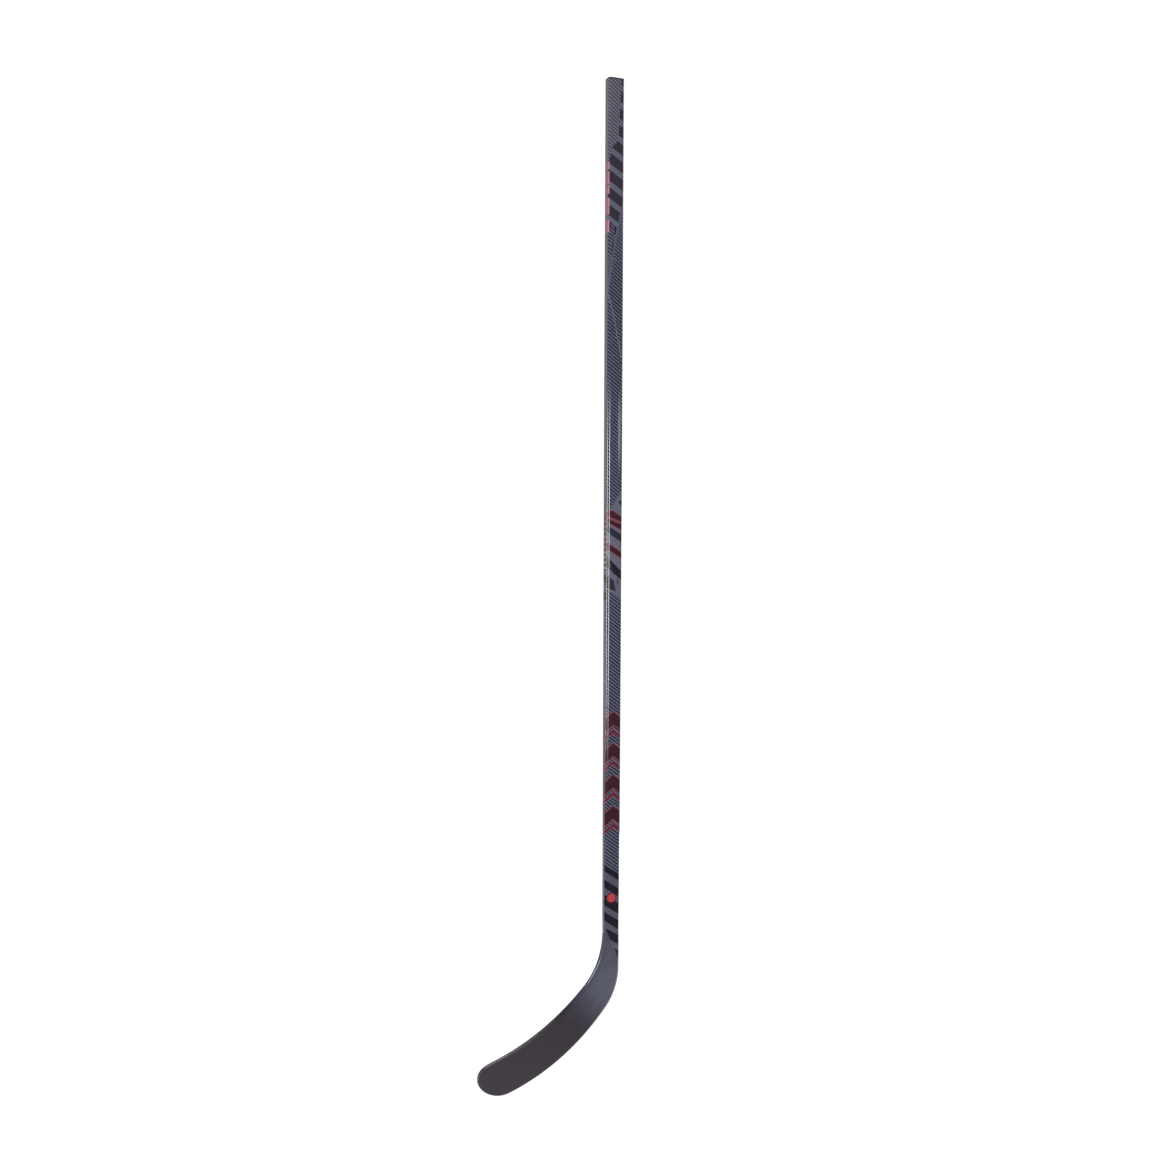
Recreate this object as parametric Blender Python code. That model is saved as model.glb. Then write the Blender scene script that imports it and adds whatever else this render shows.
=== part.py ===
"""A one-piece composite ice hockey stick for a left-hand player.

The frame is in metres with +Z up along the shaft, and its origin is the centre of the butt end's flat
face. The shaft's wide faces look towards +Y and -Y, the toe points to -X, and the blade curves
towards +Y.

The blade is drawn flat in the XZ plane, between the sole's edge and the top edge. Stations join the
two edges: q runs from 0 at the neck to 1 where the heel ends, 2 where the toe begins and 3 at the
toe's tip. The flat drawing is then rolled about a line square to the blade, which gives its curve.
"""
import math

import bmesh
import bpy

# Shaft: a rounded rectangular tube, which gets thinner towards the blade.
SHAFT_WIDTH = 0.0296
SHAFT_THICKNESS = 0.0204
NECK_THICKNESS = 0.0155
SHAFT_CORNER = 0.0051
LEAST_CORNER = 0.0012
SHAFT_WALL = 0.0015
TAPER_TOP_Z = -0.540
TAPER_END_Z = -1.357
SHAFT_END_Z = -1.440

# Butt-end plug: a flange on the tube's end and a hollow skirt inside it.
FLANGE_THICKNESS = 0.0020
FLANGE_ROUND = 0.0007
SKIRT_DEPTH = 0.030
SKIRT_WALL = 0.0018

# Fused joint: the tenon stands in the shaft, and the overwrap lies flush round both.
WRAP_TOP_Z = -1.400
WRAP_THICKNESS = 0.0006
NECK_Z = -1.4929
TENON_TOP_Z = -1.350
TENON_WALL = 0.0018
POCKET_FLOOR_Z = -1.485
TONGUE_END_Q = 0.22

# Sole's edge, from the neck: straight, round the heel, then along the rocker to the toe.
SOLE_STRAIGHT = 0.0658
HEEL_RADIUS = 0.110
HEEL_TURN = math.radians(39.5)
ROCKER_RADIUS = 0.734
ROCKER_TURN = math.radians(17.6)

# Top edge, from the neck: round the throat, then along the top to the toe.
THROAT_RADIUS = 0.1357
THROAT_TURN = math.radians(44.2)
TOP_RADIUS = 0.807
TOP_TURN = math.radians(14.8)

# Toe: one cubic curve from the sole to the top edge, with the length of its handle at each end.
TOE_SOLE_HANDLE = 0.054
TOE_TOP_HANDLE = 0.0575

# Curve: how the flat blade is rolled.
BLADE_SLOPE = math.radians(43.6)
HEEL_Z = -1.573
CURVE_START = 0.059
CURVE_RADIUS = 0.524

# Blade thickness and what it is made of.
HEEL_THICKNESS = 0.0098
TOE_THICKNESS = 0.0064
THINNING = 1.5
EDGE_ROUNDNESS = 0.92
FACE_SKIN = 0.0010
RIB_WIDTH = 0.0018

# Gap that neighbouring pieces keep.
GAP = 0.0003

# Fineness of the meshes.
CORNER_STEPS = 6
FLANGE_STEPS = 3
EDGE_STEPS = 5
HEEL_STEPS = 14
BLADE_STEPS = 22
TOE_STEPS = 14
FACE_STRIPS = 6
SHARP_ANGLE = math.radians(35)
LAST_Q = 2.94

# Insets from the shaft's outline: what fits inside the overwrap, inside the bore and inside the tenon.
IN_WRAP = WRAP_THICKNESS + GAP
IN_BORE = SHAFT_WALL + GAP
POCKET = IN_BORE + TENON_WALL

# The blade's two edges as runs of (length, turn), and the length of each in the heel.
SOLE_RUNS = (
    (SOLE_STRAIGHT, 0.0),
    (HEEL_RADIUS * HEEL_TURN, HEEL_TURN),
    (ROCKER_RADIUS * ROCKER_TURN, ROCKER_TURN),
)
TOP_RUNS = (
    (THROAT_RADIUS * THROAT_TURN, THROAT_TURN),
    (TOP_RADIUS * TOP_TURN, TOP_TURN),
)
SOLE_HEEL = SOLE_RUNS[0][0] + SOLE_RUNS[1][0]
TOP_HEEL = TOP_RUNS[0][0]
HEEL_GAP_Q = GAP / TOP_HEEL


def clear_scene():
    for obj in list(bpy.data.objects):
        bpy.data.objects.remove(obj, do_unlink=True)


def mix(a, b, share):
    return a + (b - a) * share


def smooth(share):
    return share * share * (3.0 - 2.0 * share)


def spread(start, end, steps):
    """steps + 1 values from start to end."""
    return [mix(start, end, i / steps) for i in range(steps + 1)]


# Materials and solids


def make_material(name, color, roughness, metallic=0.0):
    material = bpy.data.materials.new(name)
    material.use_nodes = True
    shader = material.node_tree.nodes["Principled BSDF"]
    shader.inputs["Base Color"].default_value = (*color, 1.0)
    shader.inputs["Roughness"].default_value = roughness
    shader.inputs["Metallic"].default_value = metallic
    material.diffuse_color = (*color, 1.0)
    return material


def ring_solid(name, rings, material, endless=False):
    """A solid through rings of points. Its two ends are capped, or joined where it is endless."""
    mesh = bpy.data.meshes.new(name)
    bm = bmesh.new()
    loops = []
    for ring in rings:
        loops.append([bm.verts.new(point) for point in ring])
    pairs = list(zip(loops, loops[1:]))
    if endless:
        pairs.append((loops[-1], loops[0]))
    else:
        bm.faces.new(loops[0])
        bm.faces.new(loops[-1])
    for one, other in pairs:
        for i in range(len(one)):
            bm.faces.new((one[i - 1], one[i], other[i], other[i - 1]))
    bmesh.ops.recalc_face_normals(bm, faces=bm.faces)
    bm.to_mesh(mesh)
    bm.free()
    mesh.shade_smooth()
    mesh.set_sharp_from_angle(angle=SHARP_ANGLE)
    mesh.materials.append(material)
    obj = bpy.data.objects.new(name, mesh)
    bpy.context.scene.collection.objects.link(obj)
    return obj


# Shaft sections


def rounded_rectangle(width, thickness, corner):
    """Points (across, through) round a rectangle with round corners."""
    points = []
    for quarter, (sx, sy) in enumerate(((1, 1), (-1, 1), (-1, -1), (1, -1))):
        for step in range(CORNER_STEPS + 1):
            angle = math.pi / 2 * (quarter + step / CORNER_STEPS)
            x = sx * (width / 2 - corner) + corner * math.cos(angle)
            y = sy * (thickness / 2 - corner) + corner * math.sin(angle)
            points.append((x, y))
    return points


def shaft_thickness(z):
    share = (z - TAPER_TOP_Z) / (TAPER_END_Z - TAPER_TOP_Z)
    return mix(SHAFT_THICKNESS, NECK_THICKNESS, min(max(share, 0.0), 1.0))


def shaft_ring(z, inset=0.0):
    """The shaft's outline at this height, moved in by this much all round."""
    width = SHAFT_WIDTH - 2 * inset
    thickness = shaft_thickness(z) - 2 * inset
    outline = rounded_rectangle(width, thickness, max(SHAFT_CORNER - inset, LEAST_CORNER))
    return [(x, y, z) for x, y in outline]


# Blade drawing


def advance(point, length, turn):
    """The point (x, z, heading) after an arc of this length that turns clockwise by this angle."""
    x, z, heading = point
    if turn == 0.0:
        return x + length * math.cos(heading), z + length * math.sin(heading), heading
    radius = length / turn
    end = heading - turn
    x += radius * (math.sin(heading) - math.sin(end))
    z += radius * (math.cos(end) - math.cos(heading))
    return x, z, end


def along(start, runs, distance):
    """The point (x, z, heading) at this distance along an edge's straight and round runs."""
    point = start
    for length, turn in runs:
        step = min(distance, length)
        point = advance(point, step, turn * step / length)
        distance -= step
        if distance <= 0.0:
            break
    return point


SOLE_START = (SHAFT_WIDTH / 2, NECK_Z, -math.pi / 2)
TOP_START = (-SHAFT_WIDTH / 2, NECK_Z, -math.pi / 2)
SOLE_END = along(SOLE_START, SOLE_RUNS, sum(length for length, turn in SOLE_RUNS))
TOP_END = along(TOP_START, TOP_RUNS, sum(length for length, turn in TOP_RUNS))


def toe_point(t):
    """The point (x, z, heading) on the toe's cubic curve, from the sole at 0 to the top at 1."""
    handles = ((SOLE_END, TOE_SOLE_HANDLE), (TOP_END, TOE_TOP_HANDLE))
    outer = [(x + reach * math.cos(a), z + reach * math.sin(a)) for (x, z, a), reach in handles]
    points = (SOLE_END[:2], outer[0], outer[1], TOP_END[:2])
    weights = ((1 - t) ** 3, 3 * t * (1 - t) ** 2, 3 * t * t * (1 - t), t**3)
    slopes = ((1 - t) ** 2, 2 * t * (1 - t), t * t)
    x = sum(w * p[0] for w, p in zip(weights, points))
    z = sum(w * p[1] for w, p in zip(weights, points))
    dx = sum(s * (b[0] - a[0]) for s, a, b in zip(slopes, points, points[1:]))
    dz = sum(s * (b[1] - a[1]) for s, a, b in zip(slopes, points, points[1:]))
    return x, z, math.atan2(dz, dx)


def edge_point(side, q):
    """The point (x, z, heading) on the sole's edge or the top edge at station q."""
    if q > 2.0:
        t = (q - 2.0) / 2
        return toe_point(t if side == "sole" else 1.0 - t)
    if side == "sole":
        start, runs, heel = SOLE_START, SOLE_RUNS, SOLE_HEEL
    else:
        start, runs, heel = TOP_START, TOP_RUNS, TOP_HEEL
    if q <= 1.0:
        return along(start, runs, q * heel)
    return along(start, runs, heel + (q - 1.0) * runs[-1][0])


def inset_point(side, q, distance):
    """The edge's point at station q, moved square to the edge into the blade."""
    x, z, heading = edge_point(side, q)
    inward = 1.0 if side == "sole" or q > 2.0 else -1.0
    x += inward * distance * math.sin(heading)
    z -= inward * distance * math.cos(heading)
    return x, z


def half_thickness(q):
    if q <= 1.0:
        return mix(NECK_THICKNESS, HEEL_THICKNESS, smooth(q)) / 2
    thinned = 1.0 - max(2.0 - q, 0.0) ** THINNING
    return mix(HEEL_THICKNESS, TOE_THICKNESS, thinned) / 2


def edge_radius(q):
    return min(SHAFT_CORNER, EDGE_ROUNDNESS * half_thickness(q))


def roll(x, z, n):
    """A point of the flat drawing, n in front of its middle plane, on the curved blade."""
    cos_slope = math.cos(BLADE_SLOPE)
    sin_slope = math.sin(BLADE_SLOPE)
    u = -x * cos_slope - (z - HEEL_Z) * sin_slope
    v = -x * sin_slope + (z - HEEL_Z) * cos_slope
    angle = max(u - CURVE_START, 0.0) / CURVE_RADIUS
    reach = min(u, CURVE_START) + (CURVE_RADIUS - n) * math.sin(angle)
    depth = CURVE_RADIUS - (CURVE_RADIUS - n) * math.cos(angle)
    return (
        -reach * cos_slope - v * sin_slope,
        depth,
        HEEL_Z - reach * sin_slope + v * cos_slope,
    )


# Blade solids


def station_row(q, low, high, n, strips):
    """Points from the sole's side to the top side. low and high are (share, shift) along the station."""
    inset = edge_radius(q) + GAP
    sole = inset_point("sole", q, inset)
    top = inset_point("top", q, inset)
    length = math.dist(sole, top)
    start = low[0] + low[1] / length
    end = high[0] + high[1] / length
    row = []
    for share in spread(start, end, strips):
        x = mix(sole[0], top[0], share)
        z = mix(sole[1], top[1], share)
        row.append(roll(x, z, n))
    return row


def slab(name, stations, low, high, layer, strips, material):
    """A solid between the blade's two sides. layer gives its back and front at half thickness h."""
    rings = []
    for q in stations:
        back, front = layer(half_thickness(q))
        upper = station_row(q, low, high, front, strips)
        lower = station_row(q, low, high, back, strips)
        rings.append(upper + lower[::-1])
    return ring_solid(name, rings, material)


def blade_stations(start, end):
    """Stations from start to end: the section limits between them are always among them."""
    values = [start]
    for first, steps in ((0.0, HEEL_STEPS), (1.0, BLADE_STEPS), (2.0, TOE_STEPS)):
        for q in spread(first, first + 1.0, steps)[1:]:
            if start < q < end:
                values.append(q)
    values.append(end)
    return values


def edge_ring(side, q):
    """The edge band's section at station q: a rounded outer side and a flat inner side."""
    h = half_thickness(q)
    radius = edge_radius(q)
    ring = []
    for sign in (1, -1):
        for step in range(EDGE_STEPS + 1):
            angle = math.pi / 2 * step / EDGE_STEPS
            if sign < 0:
                angle = math.pi / 2 - angle
            outward = radius * math.sin(angle)
            n = sign * (h - radius + radius * math.cos(angle))
            x, z = inset_point(side, q, radius - outward)
            ring.append(roll(x, z, n))
    return ring


def blade_edge_band(material):
    stations = blade_stations(0.0, 3.0)
    rings = [edge_ring("sole", q) for q in stations]
    rings += [edge_ring("top", q) for q in stations[-2::-1]]
    return ring_solid("blade_edge_band", rings, material)


def blade_faces(material):
    stations = blade_stations(0.0, LAST_Q)
    for name, layer in (
        ("blade_face_forehand", lambda h: (h - FACE_SKIN, h)),
        ("blade_face_backhand", lambda h: (-h, FACE_SKIN - h)),
    ):
        slab(name, stations, (0.0, 0.0), (1.0, 0.0), layer, FACE_STRIPS, material)


def core_layer(h):
    inner = h - FACE_SKIN - GAP
    return -inner, inner


def blade_cores(foam, filler, carbon):
    edge = RIB_WIDTH / 2
    stations = blade_stations(1.0, LAST_Q)
    heel = blade_stations(TONGUE_END_Q + HEEL_GAP_Q, 1.0 - HEEL_GAP_Q)
    lower_end = (0.5, -edge - GAP)
    upper_start = (0.5, edge + GAP)
    slab("blade_core_lower", stations, (0.0, 0.0), lower_end, core_layer, 3, foam)
    slab("blade_core_upper", stations, upper_start, (1.0, 0.0), core_layer, 3, foam)
    slab("blade_rib", stations[:-2], (0.5, -edge), (0.5, edge), core_layer, 1, carbon)
    slab("heel_core", heel, (0.0, 0.0), (1.0, 0.0), core_layer, FACE_STRIPS, filler)


# Shaft, plug and joint


def shaft_tube(material):
    top = -FLANGE_THICKNESS - GAP
    outer = [shaft_ring(z) for z in (top, TAPER_TOP_Z, TAPER_END_Z, WRAP_TOP_Z)]
    recess = [shaft_ring(z, IN_WRAP) for z in (WRAP_TOP_Z, SHAFT_END_Z)]
    bore = [shaft_ring(z, SHAFT_WALL) for z in (SHAFT_END_Z, TAPER_END_Z, TAPER_TOP_Z, top)]
    return ring_solid("shaft_tube", outer + recess + bore, material, endless=True)


def butt_end_plug(material):
    rings = []
    for step in range(FLANGE_STEPS + 1):
        angle = math.pi / 2 * step / FLANGE_STEPS
        inset = FLANGE_ROUND * (1.0 - math.sin(angle))
        z = -FLANGE_ROUND * (1.0 - math.cos(angle))
        rings.append([(x, y, z) for x, y, _ in shaft_ring(0.0, inset)])
    rings.append([(x, y, -FLANGE_THICKNESS) for x, y, _ in shaft_ring(0.0)])
    for z, inset in (
        (-FLANGE_THICKNESS, IN_BORE),
        (-SKIRT_DEPTH, IN_BORE),
        (-SKIRT_DEPTH, IN_BORE + SKIRT_WALL),
        (-FLANGE_THICKNESS, IN_BORE + SKIRT_WALL),
    ):
        rings.append(shaft_ring(z, inset))
    return ring_solid("butt_end_plug", rings, material)


def fuse_wrap(material):
    top = WRAP_TOP_Z - GAP
    end = NECK_Z + GAP
    outer = [shaft_ring(z) for z in (top, end)]
    inner = [shaft_ring(z, WRAP_THICKNESS) for z in (end, top)]
    return ring_solid("fuse_wrap", outer + inner, material, endless=True)


def tongue_ring(q):
    """The tenon's tongue at station q of the blade, inside the face laminates and the edge band."""
    low, middle, high = station_row(q, (0.0, GAP), (1.0, -GAP), 0.0, 2)
    width = math.dist(low, high)
    direction = [(b - a) / width for a, b in zip(high, low)]
    thickness = 2 * (core_layer(half_thickness(q))[1] - GAP)
    outline = rounded_rectangle(width, thickness, SHAFT_CORNER / 2)
    ring = []
    for across, through in outline:
        x = middle[0] + direction[0] * across
        z = middle[2] + direction[2] * across
        ring.append((x, through, z))
    return ring


def hosel_tenon(material):
    shoulder = SHAFT_END_Z - GAP
    rings = [tongue_ring(q) for q in spread(TONGUE_END_Q, 0.0, 4)]
    rings.append([(x, y, z + GAP) for x, y, z in rings[-1]])
    for z, inset in (
        (NECK_Z + GAP, IN_WRAP),
        (shoulder, IN_WRAP),
        (shoulder, IN_BORE),
        (TENON_TOP_Z, IN_BORE),
        (TENON_TOP_Z, POCKET),
        (POCKET_FLOOR_Z, POCKET),
    ):
        rings.append(shaft_ring(z, inset))
    return ring_solid("hosel_tenon", rings, material)


def tenon_core(material):
    rings = [shaft_ring(z, POCKET + GAP) for z in (TENON_TOP_Z - GAP, POCKET_FLOOR_Z + GAP)]
    return ring_solid("tenon_core", rings, material)


def main():
    clear_scene()
    painted = make_material("painted_composite", (0.075, 0.078, 0.105), 0.42)
    wrap = make_material("wrap_carbon", (0.070, 0.072, 0.095), 0.38)
    plug = make_material("plug_plastic", (0.022, 0.022, 0.026), 0.55)
    face = make_material("face_carbon", (0.055, 0.048, 0.060), 0.30)
    edge = make_material("edge_carbon", (0.065, 0.058, 0.070), 0.32)
    tenon = make_material("tenon_carbon", (0.040, 0.040, 0.045), 0.50)
    foam = make_material("core_foam", (0.72, 0.66, 0.52), 0.90)
    filler = make_material("heel_filler", (0.16, 0.15, 0.14), 0.70)
    shaft_tube(painted)
    butt_end_plug(plug)
    fuse_wrap(wrap)
    hosel_tenon(tenon)
    tenon_core(foam)
    blade_edge_band(edge)
    blade_faces(face)
    blade_cores(foam, filler, tenon)


main()
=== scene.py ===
"""The looks of the ice hockey stick: painted shaft, fused neck and cored blade in a white studio.

Everything is in metres in the CAD's frame: +Z up the shaft from the butt end, toe towards -X, wide
faces towards +Y and -Y. Paint is laid out in face coordinates: `across` runs over a wide face and
round its corners, towards +X on both faces, and z runs up the shaft.
"""
import math

import bmesh
import bpy
from mathutils import Matrix, Vector


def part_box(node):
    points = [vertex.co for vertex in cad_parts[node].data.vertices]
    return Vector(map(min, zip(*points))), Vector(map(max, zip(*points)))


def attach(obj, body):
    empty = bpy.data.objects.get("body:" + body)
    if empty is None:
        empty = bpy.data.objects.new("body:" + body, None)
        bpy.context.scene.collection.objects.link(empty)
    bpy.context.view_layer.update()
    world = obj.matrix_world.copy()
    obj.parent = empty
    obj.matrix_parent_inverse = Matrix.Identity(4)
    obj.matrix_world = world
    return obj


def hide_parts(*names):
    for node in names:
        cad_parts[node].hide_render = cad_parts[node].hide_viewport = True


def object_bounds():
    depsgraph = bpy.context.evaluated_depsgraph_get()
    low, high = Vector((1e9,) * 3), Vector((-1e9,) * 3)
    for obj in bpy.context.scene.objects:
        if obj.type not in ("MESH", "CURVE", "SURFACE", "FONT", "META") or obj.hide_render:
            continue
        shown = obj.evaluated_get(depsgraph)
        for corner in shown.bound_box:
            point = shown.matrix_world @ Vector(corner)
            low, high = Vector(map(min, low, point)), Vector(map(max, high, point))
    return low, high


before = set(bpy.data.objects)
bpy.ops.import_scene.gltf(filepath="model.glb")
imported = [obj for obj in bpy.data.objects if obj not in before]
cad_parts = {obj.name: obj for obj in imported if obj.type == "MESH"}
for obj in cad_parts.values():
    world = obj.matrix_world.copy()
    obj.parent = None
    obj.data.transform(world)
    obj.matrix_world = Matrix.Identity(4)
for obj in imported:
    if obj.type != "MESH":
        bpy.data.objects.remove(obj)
cad_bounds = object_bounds()

# Sizes from the frame

TUBE_LOW, TUBE_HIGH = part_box("shaft_tube")
WRAP_LOW, WRAP_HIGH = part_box("fuse_wrap")
PLUG_END_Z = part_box("butt_end_plug")[0][2]
SHAFT_WIDTH = TUBE_HIGH[0] - TUBE_LOW[0]
BUTT_THICKNESS = TUBE_HIGH[1] - TUBE_LOW[1]
NECK_THICKNESS = WRAP_HIGH[1] - WRAP_LOW[1]

# Shaft, as in the CAD
SHAFT_CORNER = 0.0051
LEAST_CORNER = 0.0012
SHAFT_WALL = 0.0015
TAPER_TOP_Z = -0.540
TAPER_END_Z = -1.357
FLANGE_THICKNESS = 0.0020
SKIRT_WALL = 0.0018
WRAP_THICKNESS = 0.0006
NECK_Z = -1.4929

# Blade drawing, as in the CAD
SOLE_STRAIGHT = 0.0658
HEEL_RADIUS = 0.110
HEEL_TURN = math.radians(39.5)
ROCKER_RADIUS = 0.734
ROCKER_TURN = math.radians(17.6)
THROAT_RADIUS = 0.1357
THROAT_TURN = math.radians(44.2)
TOP_RADIUS = 0.807
TOP_TURN = math.radians(14.8)
TOE_SOLE_HANDLE = 0.054
TOE_TOP_HANDLE = 0.0575
BLADE_SLOPE = math.radians(43.6)
HEEL_Z = -1.573
CURVE_START = 0.059
CURVE_RADIUS = 0.524
HEEL_THICKNESS = 0.0098
TOE_THICKNESS = 0.0064
THINNING = 1.5
EDGE_ROUNDNESS = 0.92
FACE_SKIN = 0.0010

# Hairline gap between finished pieces, and how far their sharp corners are cut back
SEAM = 0.0001
SOFTENED = 0.00015
# The shaft's end inside the wrap stops short of the CAD's, which keeps the shaft under five times the
# size of the blade's faces, so that their baked pictures stay large.
SLEEVE_END_Z = -1.405

# Fineness of the meshes
CORNER_STEPS = 12
EDGE_STEPS = 10
HEEL_STEPS = 28
BLADE_STEPS = 44
TOE_STEPS = 28
FACE_STRIPS = 8
LAST_Q = 2.985
SHARP_ANGLE = math.radians(35)

# Empty border round each strip of the bake layout, as a share of the layout
BORDER = 0.004

# The blade's two edges as runs of (length, turn), and the length of each in the heel
SOLE_RUNS = (
    (SOLE_STRAIGHT, 0.0),
    (HEEL_RADIUS * HEEL_TURN, HEEL_TURN),
    (ROCKER_RADIUS * ROCKER_TURN, ROCKER_TURN),
)
TOP_RUNS = (
    (THROAT_RADIUS * THROAT_TURN, THROAT_TURN),
    (TOP_RADIUS * TOP_TURN, TOP_TURN),
)
SOLE_HEEL = SOLE_RUNS[0][0] + SOLE_RUNS[1][0]
TOP_HEEL = TOP_RUNS[0][0]


def mix(a, b, share):
    return a + (b - a) * share


def smooth(share):
    return share * share * (3.0 - 2.0 * share)


def spread(start, end, steps):
    """steps + 1 values from start to end."""
    return [mix(start, end, i / steps) for i in range(steps + 1)]


# Meshes through rings of points, with a bake layout


def running_lengths(points):
    """How far along a line of points each of them is."""
    lengths = [0.0]
    for one, other in zip(points, points[1:]):
        lengths.append(lengths[-1] + math.dist(one, other))
    return lengths


def running_shares(ring):
    """How far round a ring each of its points is, from 0 to 1, with the return to the first one."""
    lengths = running_lengths(ring + ring[:1])
    return [length / lengths[-1] for length in lengths]


def ring_mesh(name, rings, tiles, shares, endless=False):
    """A closed mesh through rings of points.

    tiles has a rectangle (u0, u1, v0, v1) of the bake layout for each gap between two rings, and
    shares says how far over it, from v0 to v1, each point of a ring lies.
    """
    mesh = bpy.data.meshes.new(name)
    bm = bmesh.new()
    layout = bm.loops.layers.uv.new("OFBake")
    loops = [[bm.verts.new(point) for point in ring] for ring in rings]
    pairs = list(zip(loops, loops[1:]))
    if endless:
        pairs.append((loops[-1], loops[0]))
    count = len(loops[0])
    for (one, other), (u0, u1, v0, v1) in zip(pairs, tiles, strict=True):
        for i in range(count):
            after = (i + 1) % count
            face = bm.faces.new((one[i], one[after], other[after], other[i]))
            low = mix(v0, v1, shares[i])
            high = mix(v0, v1, shares[i + 1])
            for loop, uv in zip(face.loops, ((u0, low), (u0, high), (u1, high), (u1, low))):
                loop[layout].uv = uv
    if not endless:
        for loop, (u0, u1, v0, v1) in ((loops[0], tiles[0]), (loops[-1], tiles[-1])):
            face = bm.faces.new(loop)
            for corner in face.loops:
                corner[layout].uv = (mix(u0, u1, 0.5), mix(v0, v1, 0.5))
    bmesh.ops.recalc_face_normals(bm, faces=bm.faces)
    bm.to_mesh(mesh)
    bm.free()
    mesh.shade_smooth()
    mesh.set_sharp_from_angle(angle=SHARP_ANGLE)
    piece = bpy.data.objects.new(name, mesh)
    bpy.context.scene.collection.objects.link(piece)
    return piece


def strip_tiles(distances, strips, top):
    """Bake rectangles for consecutive gaps, folded into strips that fill the layout up to top."""
    gaps = list(zip(distances, distances[1:]))
    tiles = []
    for strip in range(strips):
        share = [gap for gap in gaps if int(sum(gap) / 2 / distances[-1] * strips) == strip]
        first, last = share[0][0], share[-1][1]
        v0, v1 = top * strip / strips + BORDER, top * (strip + 1) / strips - BORDER
        for start, end in share:
            u0 = mix(BORDER, 1.0 - BORDER, (start - first) / (last - first))
            u1 = mix(BORDER, 1.0 - BORDER, (end - first) / (last - first))
            tiles.append((u0, u1, v0, v1))
    return tiles


def row_tiles(count, low, high):
    """Bake rectangles side by side in one low row, for surfaces that hardly show."""
    edges = spread(BORDER, 1.0 - BORDER, count)
    return [(u0, u1, low, high) for u0, u1 in zip(edges, edges[1:])]


# Shaft, plug and overwrap


def rounded_rectangle(width, thickness, corner):
    """Points (across, through) round a rectangle with round corners."""
    points = []
    for quarter, (sx, sy) in enumerate(((1, 1), (-1, 1), (-1, -1), (1, -1))):
        for step in range(CORNER_STEPS + 1):
            angle = math.pi / 2 * (quarter + step / CORNER_STEPS)
            x = sx * (width / 2 - corner) + corner * math.cos(angle)
            y = sy * (thickness / 2 - corner) + corner * math.sin(angle)
            points.append((x, y))
    return points


def shaft_thickness(z):
    share = (z - TAPER_TOP_Z) / (TAPER_END_Z - TAPER_TOP_Z)
    return mix(BUTT_THICKNESS, NECK_THICKNESS, min(max(share, 0.0), 1.0))


def shaft_ring(z, inset=0.0, level=None):
    """The shaft's outline at height z, moved in by inset all round, and drawn at level if given."""
    width = SHAFT_WIDTH - 2 * inset
    thickness = shaft_thickness(z) - 2 * inset
    outline = rounded_rectangle(width, thickness, max(SHAFT_CORNER - inset, LEAST_CORNER))
    return [(x, y, z if level is None else level) for x, y in outline]


def make_shaft():
    top, end = TUBE_HIGH[2], WRAP_HIGH[2] + SEAM
    strips = 4
    cuts = spread(top - SOFTENED, end + SOFTENED, strips)
    heights = sorted({*cuts, TAPER_TOP_Z, TAPER_END_Z}, reverse=True)
    rings = [shaft_ring(top, SOFTENED)]
    rings += [shaft_ring(z) for z in heights]
    rings += [shaft_ring(end, SOFTENED), shaft_ring(end, WRAP_THICKNESS + SEAM)]
    low = SLEEVE_END_Z
    rings.append(shaft_ring(low, WRAP_THICKNESS + SEAM))
    rings += [shaft_ring(z, SHAFT_WALL) for z in (low, TAPER_END_Z, TAPER_TOP_Z, top)]
    outer = strip_tiles([heights[0] - z for z in heights], strips, 0.955)
    rest = row_tiles(len(rings) - len(outer), 0.965, 1.0 - BORDER)
    tiles = rest[:1] + outer + rest[1:]
    return ring_mesh("shaft", rings, tiles, running_shares(rings[1]), endless=True)


def make_plug():
    """Moulded plug: a flange with a round edge and a shallow panel on top, and a hollow skirt."""
    edge = 0.0007
    panel = 0.0036
    depth = 0.0004
    rings = []
    for inward, share in ((0.0004, 1.0), (0.0, 0.8), (-0.0002, 0.2), (-0.0005, 0.0)):
        rings.append(shaft_ring(0.0, panel + inward, -depth * share))
    for angle in spread(0.0, math.pi / 2, 6):
        inset = edge * (1.0 - math.sin(angle))
        rings.append(shaft_ring(0.0, inset, -edge * (1.0 - math.cos(angle))))
    under = -FLANGE_THICKNESS
    rings += [shaft_ring(0.0, 0.0, under + SOFTENED), shaft_ring(0.0, SOFTENED, under)]
    skirt = SHAFT_WALL + SEAM
    lead_in = 0.0010
    for level, inset in (
        (under, skirt),
        (PLUG_END_Z + lead_in, skirt),
        (PLUG_END_Z, skirt + lead_in * 0.6),
        (PLUG_END_Z, skirt + SKIRT_WALL),
        (under, skirt + SKIRT_WALL),
    ):
        rings.append(shaft_ring(0.0, inset, level))
    tiles = strip_tiles(spread(0.0, 1.0, len(rings) - 1), 3, 1.0)
    return ring_mesh("butt_plug", rings, tiles, running_shares(rings[4]))


def make_wrap():
    top, end = WRAP_HIGH[2], NECK_Z + SEAM
    rings = [shaft_ring(top, SOFTENED), shaft_ring(top - SOFTENED)]
    rings += [shaft_ring(end + SOFTENED), shaft_ring(end, SOFTENED)]
    rings += [shaft_ring(z, WRAP_THICKNESS) for z in (end, top)]
    tiles = row_tiles(len(rings), BORDER, 0.05)
    tiles[1] = (BORDER, 1.0 - BORDER, 0.07, 1.0 - BORDER)
    return ring_mesh("neck_wrap", rings, tiles, running_shares(rings[1]), endless=True)


# Blade drawing


def advance(point, length, turn):
    """The point (x, z, heading) after an arc of this length that turns clockwise by this angle."""
    x, z, heading = point
    if turn == 0.0:
        return x + length * math.cos(heading), z + length * math.sin(heading), heading
    radius = length / turn
    end = heading - turn
    x += radius * (math.sin(heading) - math.sin(end))
    z += radius * (math.cos(end) - math.cos(heading))
    return x, z, end


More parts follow.
